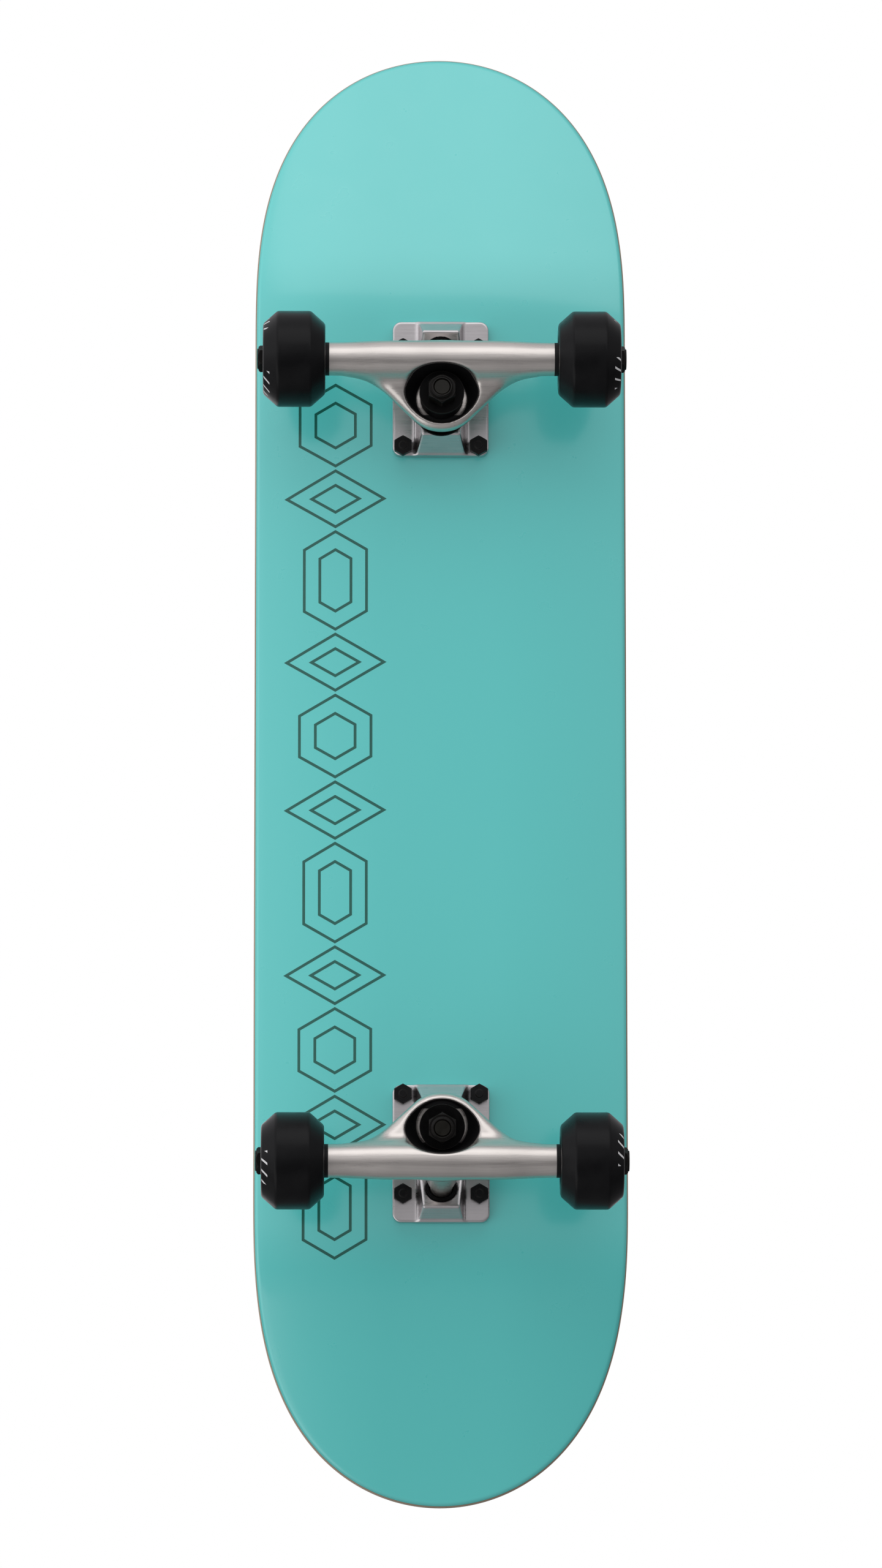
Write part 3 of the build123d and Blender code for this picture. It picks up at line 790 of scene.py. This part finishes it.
def make_graphic(ink):
    points, faces = [], []
    cursor = STRIP_START
    figures = strip_figures()
    gap = 2.7
    index = 0
    while cursor - figures[index % len(figures)][1] >= STRIP_END:
        outlines, width = figures[index % len(figures)]
        for outline in outlines:
            more_points, more_faces = ribbon(outline, cursor - width / 2)
            shift = sum(len(p) for p in points)
            points.append(more_points)
            faces += [tuple(v + shift for v in face) for face in more_faces]
        cursor -= width + gap
        index += 1
    piece = place_on_board(make_object("printed_graphic", np.vstack(points), faces, 30))
    piece.data.materials.append(ink)
    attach(piece, "deck")


# --- Baseplate --------------------------------------------------------
def profile_field(x, drop, corners, rounding):
    """Distance from a convex side profile of (x, drop) corners, listed inner end first."""
    field = None
    for a, b in zip(corners, corners[1:]):
        dx, dy = b[0] - a[0], b[1] - a[1]
        edge = (dx * (drop - a[1]) - dy * (x - a[0])) / math.hypot(dx, dy)
        field = edge if field is None else smooth_max(field, edge, rounding)
    return field


KINGPIN_BOSS = [(-32.4, 5.3), (-22.6, 20.6), (1.5, 16.7), (8.5, 4.0)]
KINGPIN_BOSS_CREST = 20.6
KINGPIN_BOSS_HALF = 10.4
PIVOT_BOSS = [(9.0, 3.1), (14.8, 6.3), (34.9, 17.2), (42.6, 4.0)]
PIVOT_BOSS_CREST = 17.2
PIVOT_BOSS_HALF = 9.8
WALL_FLARE = 0.2
PLATE_CORNER = 5.0
CUP_GAP = 0.05
KINGPIN_BORE = 4.85
HEAD_POCKET_RADIUS = 8.6
HEAD_POCKET_FLOOR = -29.5


def baseplate_field(x, y, z):
    drop = -z
    middle = (PLATE_INNER + PLATE_OUTER) / 2
    qx = np.abs(x - middle) - ((PLATE_OUTER - PLATE_INNER) / 2 - PLATE_CORNER)
    qy = np.abs(y) - (PLATE_HALF_WIDTH - PLATE_CORNER)
    beyond = np.hypot(np.maximum(qx, 0), np.maximum(qy, 0))
    plan = beyond + np.minimum(np.maximum(qx, qy), 0) - PLATE_CORNER
    plate = smooth_max(plan, drop - PLATE_THICKNESS, 1.3)
    along, across = kingpin_coordinates(x, z)
    kingpin_boss = smooth_max(profile_field(x, drop, KINGPIN_BOSS, 1.2), along - SEAT_LEVEL, 1.0)
    kingpin_wall = KINGPIN_BOSS_HALF + (KINGPIN_BOSS_CREST - drop) * WALL_FLARE
    kingpin_boss = smooth_max(kingpin_boss, np.abs(y) - kingpin_wall, 1.2)
    pivot_boss = profile_field(x, drop, PIVOT_BOSS, 1.2)
    pivot_wall = PIVOT_BOSS_HALF + (PIVOT_BOSS_CREST - drop) * WALL_FLARE
    pivot_boss = smooth_max(pivot_boss, np.abs(y) - pivot_wall, 1.1)
    body = smooth_min(plate, smooth_min(kingpin_boss, pivot_boss, 2.0), 2.6)
    body = smooth_max(body, plan, 0.8)
    body = smooth_max(body, z, 0.4)
    px, pz = x - PIVOT[0], z - PIVOT[1]
    out = px * -math.sin(FACE_TILT) - pz * math.cos(FACE_TILT)
    aside = np.hypot(px * math.cos(FACE_TILT) - pz * math.sin(FACE_TILT), y)
    ball = np.sqrt(px**2 + y**2 + pz**2)
    pocket = np.where(out < 0, ball, aside) - (CUP_RADIUS + CUP_GAP)
    body = smooth_max(body, -pocket, 0.6)
    body = np.maximum(body, KINGPIN_BORE - np.hypot(across, y))
    head = np.maximum(np.hypot(across, y) - HEAD_POCKET_RADIUS, along - HEAD_POCKET_FLOOR)
    body = np.maximum(body, -head)
    for sx in (1, -1):
        body = np.maximum(body, BOLT_HOLE_RADIUS - np.hypot(x - sx * BOLT_X, np.abs(y) - BOLT_Y))
    return body


def make_baseplates(material):
    points, faces = surface_points(baseplate_field, (-34.0, -28.0, -23.0), (44.0, 28.0, 1.5), 0.62)
    for end in ENDS:
        piece = make_object(f"{end}_cast_baseplate", points, faces, 50)
        piece.matrix_world = truck_matrix(end)
        piece.data.materials.append(material)
        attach(piece, "deck")
        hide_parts(f"{end}_baseplate")


# --- Hanger -----------------------------------------------------------
BAR_END = 67.0
BAR_RADIUS = 10.1
BAR_THINNING = 1.1
BAND_START = 61.0
YOKE_END = 49.5
YOKE_TIP = 14.0
YOKE_TOP = 50.6
YOKE_TOP_X = 3.5
YOKE_TOP_SLOPE = 0.27
YOKE_FLARE = 0.1
YOKE_FLARE_DROP = 44.0
WING_DROP = 38.5
RING_HALF = 3.0
RING_BORE = 6.8
AXLE_BORE = 4.0
ARM_ALONG = (-0.29, -0.957)
ARM_RADIUS = 5.25
ARM_LENGTH = 36.0
ARM_TAPER = 34.0
CUP_HALF = 14.0
CUP_HALF_AXLE_SIDE = 13.2
CUP_COAT_RADIUS = 13.75
TABLE_STEP = 0.25
TABLE_COUNT = 300
TABLE_LOW = (-42.0, 0.0)


def arc_points(start, middle, end, count):
    """Points on the circular arc through three points."""
    (ax, ay), (bx, by), (cx, cy) = start, middle, end
    d = 2 * (ax * (by - cy) + bx * (cy - ay) + cx * (ay - by))
    ux = ((ax**2 + ay**2) * (by - cy) + (bx**2 + by**2) * (cy - ay) + (cx**2 + cy**2) * (ay - by)) / d
    uy = ((ax**2 + ay**2) * (cx - bx) + (bx**2 + by**2) * (ax - cx) + (cx**2 + cy**2) * (bx - ax)) / d
    a0 = math.atan2(ay - uy, ax - ux)
    a1 = math.atan2(cy - uy, cx - ux)
    turn = (a1 - a0 + math.pi) % (2 * math.pi) - math.pi
    radius = math.hypot(ax - ux, ay - uy)
    angles = a0 + turn * np.linspace(0, 1, count)
    return np.column_stack((ux + radius * np.cos(angles), uy + radius * np.sin(angles)))


def yoke_plan_table():
    """Signed distance from the yoke's plan outline (its +Y half), on a fine (x, y) grid."""
    tip = arc_points((-25.4, 0), (-24.2, 7.3), (-20.4, YOKE_TIP), 16)
    flare = arc_points((-8.1, 26.7), (0.5, 37.7), (5.5, YOKE_END), 28)
    line = np.vstack(([(tip[0][0], -1)], tip, flare, [(AXLE[0], YOKE_END), (AXLE[0], -1)]))
    xs = TABLE_LOW[0] + TABLE_STEP * np.arange(TABLE_COUNT)
    ys = TABLE_LOW[1] + TABLE_STEP * np.arange(TABLE_COUNT)
    gx, gy = np.meshgrid(xs, ys, indexing="ij")
    best = np.full(gx.shape, 1e9)
    inside = np.zeros(gx.shape, bool)
    for a, b in zip(line, line[1:]):
        dx, dy = b - a
        share = np.clip(((gx - a[0]) * dx + (gy - a[1]) * dy) / (dx * dx + dy * dy), 0, 1)
        best = np.minimum(best, np.hypot(gx - a[0] - share * dx, gy - a[1] - share * dy))
        if dy != 0:
            crosses = (a[1] > gy) != (b[1] > gy)
            inside ^= crosses & (gx < dx * (gy - a[1]) / dy + a[0])
    return np.where(inside, -best, best)


PLAN_TABLE = yoke_plan_table()


def yoke_plan(x, side):
    """The table read between its grid points."""
    i = np.clip((x - TABLE_LOW[0]) / TABLE_STEP, 0, TABLE_COUNT - 1.01)
    j = np.clip((side - TABLE_LOW[1]) / TABLE_STEP, 0, TABLE_COUNT - 1.01)
    i0, j0 = i.astype(int), j.astype(int)
    fi, fj = i - i0, j - j0
    low = PLAN_TABLE[i0, j0] * (1 - fj) + PLAN_TABLE[i0, j0 + 1] * fj
    high = PLAN_TABLE[i0 + 1, j0] * (1 - fj) + PLAN_TABLE[i0 + 1, j0 + 1] * fj
    return low * (1 - fi) + high * fi


def hanger_solid(x, y, z):
    """The casting before its cup, ring hole and axle bore are cut."""
    side = np.abs(y)
    radius = BAR_RADIUS - BAR_THINNING * smooth_step(side, 25.0, 60.0)
    bar = np.hypot(x - AXLE[0], z - AXLE[1]) - radius
    bar = smooth_max(bar, side - BAR_END, 0.8)
    drop = -z
    along, across = kingpin_coordinates(x, z)
    plan = yoke_plan(x - YOKE_FLARE * np.abs(drop - YOKE_FLARE_DROP), side)
    top = (drop - YOKE_TOP + YOKE_TOP_SLOPE * (YOKE_TOP_X - x)) / math.hypot(1, YOKE_TOP_SLOPE)
    low_ring = -(along + RING_HALF)
    low_wing = WING_DROP - drop
    under = low_ring + (low_wing - low_ring) * smooth_step(side, 15.0, 30.0)
    yoke = smooth_max(plan, top, 5.5)
    yoke = smooth_max(yoke, under, 2.0)
    yoke = smooth_max(yoke, x - AXLE[0], 3.0)
    body = smooth_min(bar, yoke, 5.5)
    px, pz = x - PIVOT[0], z - PIVOT[1]
    climb = px * ARM_ALONG[0] + pz * ARM_ALONG[1]
    swing = px * -ARM_ALONG[1] + pz * ARM_ALONG[0]
    share = np.clip(climb / ARM_TAPER, -0.2, 1)
    arm = np.hypot(swing / (1 + 0.5 * share), y / (1 + 1.25 * share)) - ARM_RADIUS
    arm = np.maximum(arm, climb - ARM_LENGTH)
    arm = np.maximum(arm, -climb)
    ball = np.sqrt(px**2 + y**2 + pz**2) - PIVOT_TIP
    arm = smooth_min(arm, ball, 0.8)
    return smooth_min(body, arm, 4.0)


def cup_cutter(x, y, z):
    """The cup that is cut into the yoke round the kingpin, widening away from the deck."""
    along, across = kingpin_coordinates(x, z)
    half_width = 14.2 + 8.0 * (1 - np.exp(-np.maximum(along - RING_HALF, 0) / 7))
    half_length = np.where(across > 0, CUP_HALF_AXLE_SIDE, CUP_HALF)
    wall = (np.hypot(across / half_length, y / half_width) - 1) * CUP_HALF
    return smooth_max(wall, RING_HALF - along, 1.0)


def hanger_field(x, y, z):
    along, across = kingpin_coordinates(x, z)
    body = smooth_max(hanger_solid(x, y, z), -cup_cutter(x, y, z), 1.6)
    body = smooth_max(body, RING_BORE - np.hypot(across, y), 0.6)
    return np.maximum(body, AXLE_BORE - np.hypot(x - AXLE[0], z - AXLE[1]))


def coat_value(points):
    """Positive where the casting is painted black: inside the cup and on the end bands."""
    x, y, z = points.T
    along, across = kingpin_coordinates(x, z)
    deep = -hanger_solid(x, y, z) - 1.0
    wall = np.minimum(deep, 1.4 - np.abs(cup_cutter(x, y, z)))
    wall = np.minimum(wall, np.maximum(np.hypot(across, y) - CUP_COAT_RADIUS, np.abs(across) - 9.0))
    return np.maximum(wall, np.abs(y) - BAND_START)


def make_hangers(material):
    points, faces = surface_points(hanger_field, (-28.0, -69.0, -62.0), (34.0, 69.0, -3.0), 0.72)
    coat = coat_value(points)
    for end in ENDS:
        piece = make_object(f"{end}_cast_hanger", points, faces, 60)
        attribute = piece.data.attributes.new("coat", "FLOAT", "POINT")
        attribute.data.foreach_set("value", coat.astype(np.float32))
        piece.matrix_world = truck_matrix(end)
        piece.data.materials.append(material)
        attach(piece, f"{end}_hanger")
        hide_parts(f"{end}_hanger")


# --- Bushings ---------------------------------------------------------
def kingpin_matrix(end, level):
    """Local +Z runs down the kingpin, from a level measured from the ring's middle."""
    ring = Matrix.Translation((RING[0] * MM, 0, RING[1] * MM))
    lean = Matrix.Rotation(math.pi - LEAN, 4, "Y")
    return truck_matrix(end) @ ring @ lean @ Matrix.Translation((0, 0, level * MM))


BUSHING_BORE = 4.86
BUSHING_EDGE = 0.9


def bushing_profile(height, low_radius, waist, high_radius):
    """Closed (radius, z) loop of a bushing with bevelled rims and a waisted side."""
    heights = np.linspace(BUSHING_EDGE, height - BUSHING_EDGE, 15)
    share = (heights - BUSHING_EDGE) / (height - 2 * BUSHING_EDGE)
    side = low_radius + (high_radius - low_radius) * share - waist * np.sin(math.pi * share)
    outer = [(low_radius - BUSHING_EDGE, 0), (low_radius - 0.3, 0.25), *zip(side, heights)]
    outer += [(high_radius - 0.3, height - 0.25), (high_radius - BUSHING_EDGE, height)]
    return [(BUSHING_BORE, 0), *outer, (BUSHING_BORE, height)]


def make_bushings(material):
    # Low level, high level, low radius, depth of the waist, high radius.
    specs = {
        "boardside": (-16.05, -3.05, 12.3, 0.9, 12.3),
        "roadside": (3.05, 12.95, 11.6, 0.4, 9.4),
    }
    for end in ENDS:
        for name, (low, high, low_radius, waist, high_radius) in specs.items():
            profile = bushing_profile(high - low, low_radius, waist, high_radius)
            piece = turned(f"{end}_{name}_urethane", profile, 72)
            piece.matrix_world = kingpin_matrix(end, low)
            piece.data.materials.append(material)
            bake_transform(piece)
            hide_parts(f"{end}_{name}_bushing")


# --- Wheels -----------------------------------------------------------
def wheel_profile():
    """Closed (radius, z) loop of a wheel: its core, bearing seats, mouths, shoulders and tread."""
    half = [
        (9.3, 5.0, 0.3),
        (11.0, 5.0, 0.2),
        (11.0, 12.0, 0.2),
        (11.7, 12.7, 0.3),
        (13.5, 16.6, 1.2),
        (18.9, 17.0, 3.2),
        (26.0, 9.0, 3.0),
    ]
    corners = [(r, z) for r, z, _ in half] + [(r, -z) for r, z, _ in reversed(half)]
    radii = [rounding for _, _, rounding in half]
    return round_corners(corners, radii + radii[::-1], 8)


PRINT_PHASE = {"front_left": 2.063, "front_right": 2.137, "rear_left": 2.19, "rear_right": 2.03}


def make_wheels():
    for end, end_sign in ENDS.items():
        for side, side_sign in SIDES.items():
            name = f"{end}_{side}"
            piece = turned(f"{name}_urethane_wheel", wheel_profile(), 160, 25)
            centre = Vector(JOINTS[f"{name}_wheel_spin"]["pos_m"])
            outward = Matrix.Rotation(-side_sign * math.pi / 2, 4, "X")
            piece.matrix_world = Matrix.Translation(centre) @ outward
            piece.data.materials.append(wheel_material(name, PRINT_PHASE[name]))
            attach(piece, f"{name}_wheel")
            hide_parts(f"{name}_wheel")


# --- CAD nodes that are shown as they are -----------------------------
def dress_cad_nodes():
    by_slot = {
        "grip_tape": grip_material(),
        "black_oxide_steel": dark_steel_material("bolt_black"),
        "pivot_urethane": urethane_material("pivot_urethane"),
        "kingpin_steel": dark_steel_material("kingpin_dark_zinc", (0.0075, 0.007, 0.005), 0.4, 0, 0.16),
        "washer_steel": dark_steel_material("washer_black", (0.0012, 0.0012, 0.0012), 0.5, 0, 0.05),
        "nut_steel": dark_steel_material("nut_black", (0.003, 0.0026, 0.0022), 0.4, 0, 0.13),
        "axle_steel": bright_steel_material("axle_steel", (0.30, 0.30, 0.31), 0.35),
        "speed_washer_steel": bright_steel_material("zinc_washer", (0.55, 0.55, 0.56), 0.3),
        "bearing_steel": bright_steel_material("bearing_steel", (0.70, 0.70, 0.72), 0.15),
        "bearing_shield": dark_steel_material("bearing_shield", (0.05, 0.05, 0.055), 0.3, 0.9),
        "cage_nylon": urethane_material("cage_nylon", (0.70, 0.67, 0.58), 0.5),
        "spacer_aluminium": bright_steel_material("spacer_aluminium", (0.68, 0.68, 0.70), 0.3),
    }
    for entry in frame["record"]["subparts"]:
        node = frame["nodes"][entry["node"]]
        if node.hide_render:
            continue
        node.data.materials.clear()
        node.data.materials.append(by_slot[entry["material_slot"]])


# --- Camera, light and floor ------------------------------------------
def make_camera():
    """Long lens under the board, a little towards the tail, with the nose at the top."""
    camera = bpy.data.objects.new("camera", bpy.data.cameras.new("camera"))
    camera.data.lens = 176.45
    camera.data.sensor_width = 36.0
    camera.data.clip_end = 50.0
    picture_axes = Matrix(((0, 1, 0), (1, 0, 0), (0, 0, -1)))
    roll = Matrix.Rotation(-0.0005, 3, "Z")
    pan = Matrix.Rotation(-0.0141, 3, "Y")
    pitch = Matrix.Rotation(0.1345, 3, "X")
    tilt = roll @ pan @ pitch
    away = Vector((-0.5688, -0.0586, -4.1459))
    place = Vector((MIDDLE_X, 0, DECK_Z)) + away
    camera.matrix_world = Matrix.Translation(place) @ (picture_axes @ tilt).to_4x4()
    bpy.context.scene.collection.objects.link(camera)
    bpy.context.scene.camera = camera


def area_light(name, place, target, size, power):
    light = bpy.data.lights.new(name, "AREA")
    light.shape = "RECTANGLE"
    light.size, light.size_y = size
    light.energy = power
    obj = bpy.data.objects.new(name, light)
    obj.location = place
    direction = Vector(target) - Vector(place)
    obj.rotation_euler = direction.to_track_quat("-Z", "Y").to_euler()
    obj.visible_camera = False
    bpy.context.scene.collection.objects.link(obj)


def make_lights():
    board = (0, 0, 0.08)
    area_light("under_nose_soft", (1.9, 0.35, -1.55), board, (2.7, 1.8), 10.5)
    area_light("under_tail_soft", (-1.6, -2.0, -1.2), board, (3.0, 2.0), 14)
    area_light("over_soft", (-0.4, -0.6, 3.0), board, (2.2, 2.2), 9)


def make_world():
    """White to the camera; else a soft room, brighter towards the nose and the board's right."""
    world = bpy.data.worlds.new("studio")
    bpy.context.scene.world = world
    world.use_nodes = True
    nodes, links = world.node_tree.nodes, world.node_tree.links
    direction = nodes.new("ShaderNodeTexCoord").outputs["Generated"]

    def ramp(value, low, high, to_low, to_high):
        node = nodes.new("ShaderNodeMapRange")
        numbers = {"From Min": low, "From Max": high, "To Min": to_low, "To Max": to_high}
        for name, number in numbers.items():
            node.inputs[name].default_value = number
        links.new(value, node.inputs["Value"])
        return node.outputs["Result"]

    toward = nodes.new("ShaderNodeVectorMath")
    toward.operation = "DOT_PRODUCT"
    toward.inputs[1].default_value = (0.25, -0.97, 0)
    links.new(direction, toward.inputs[0])
    split = nodes.new("ShaderNodeSeparateXYZ")
    links.new(direction, split.inputs[0])

    def times(a, b):
        node = nodes.new("ShaderNodeMath")
        node.operation = "MULTIPLY"
        links.new(a, node.inputs[0])
        if isinstance(b, float):
            node.inputs[1].default_value = b
        else:
            links.new(b, node.inputs[1])
        return node.outputs[0]

    def curve(value, stops):
        """A value of -1 to 1 turned into a brightness through (value, brightness) stops."""
        node = nodes.new("ShaderNodeValToRGB")
        elements = node.color_ramp.elements
        for element, (_, brightness) in zip(elements, (stops[0], stops[-1])):
            element.color = (brightness, brightness, brightness, 1)
        for place, brightness in stops[1:-1]:
            elements.new((place + 1) / 2).color = (brightness, brightness, brightness, 1)
        links.new(ramp(value, -1, 1, 0, 1), node.inputs[0])
        return node.outputs["Color"]

    height_stops = ((-1, 0.6), (-0.84, 0.9), (-0.52, 1.0), (-0.1, 0.85), (0.2, 0.7), (1, 0.6))
    length_stops = ((-1, 0.32), (-0.34, 0.24), (0, 0.48), (0.2, 0.7), (0.5, 0.55), (1, 0.62))
    by_height = curve(split.outputs["Z"], height_stops)
    along = curve(split.outputs["X"], length_stops)
    room = times(times(by_height, along), 2.0)
    level = times(ramp(toward.outputs["Value"], -1, 1, 0.4, 1.08), room)
    soft = nodes["Background"]
    soft.inputs["Color"].default_value = (0.98, 0.97, 1.0, 1)
    links.new(level, soft.inputs["Strength"])
    white = nodes.new("ShaderNodeBackground")
    white.inputs["Strength"].default_value = 1.0
    white.inputs["Color"].default_value = (1, 1, 1, 1)
    path = nodes.new("ShaderNodeLightPath")
    mix = nodes.new("ShaderNodeMixShader")
    links.new(path.outputs["Is Camera Ray"], mix.inputs[0])
    links.new(soft.outputs[0], mix.inputs[1])
    links.new(white.outputs[0], mix.inputs[2])
    links.new(mix.outputs[0], nodes["World Output"].inputs["Surface"])


def make_floor():
    """Pale floor at z = 0, seen only from above, so that the board can be seen from below."""
    half = 6.0
    corners = [(-half, -half, 0), (half, -half, 0), (half, half, 0), (-half, half, 0)]
    floor = make_object("studio_floor", corners, [(0, 1, 2, 3)], scale=1.0)
    material = bpy.data.materials.new("pale_floor")
    material.use_nodes = True
    nodes, links = material.node_tree.nodes, material.node_tree.links
    bsdf = nodes["Principled BSDF"]
    bsdf.inputs["Base Color"].default_value = (0.5, 0.5, 0.495, 1)
    bsdf.inputs["Roughness"].default_value = 0.7
    bsdf.inputs["Emission Color"].default_value = (1, 1, 1, 1)
    bsdf.inputs["Emission Strength"].default_value = 0.42
    clear = nodes.new("ShaderNodeBsdfTransparent")
    geometry = nodes.new("ShaderNodeNewGeometry")
    mix = nodes.new("ShaderNodeMixShader")
    links.new(geometry.outputs["Backfacing"], mix.inputs[0])
    links.new(bsdf.outputs[0], mix.inputs[1])
    links.new(clear.outputs[0], mix.inputs[2])
    links.new(mix.outputs[0], nodes["Material Output"].inputs["Surface"])
    floor.data.materials.append(material)
    floor.visible_diffuse = False
    floor.visible_glossy = False
    floor.visible_transmission = False
    floor.visible_shadow = False


bpy.context.scene.view_settings.view_transform = "Standard"
make_camera()
make_lights()
make_world()
make_floor()
make_deck(paint_material())
make_graphic(ink_material())
make_baseplates(aluminium_material("cast_aluminium", (0.62, 0.595, 0.60), 0.24, 0.38, (900, 40, 900)))
make_hangers(
    aluminium_material("polished_aluminium", (0.66, 0.62, 0.585), 0.24, 0.38, (1500, 25, 1500), coated=True)
)
make_bushings(urethane_material("bushing_urethane"))
make_wheels()
dress_cad_nodes()
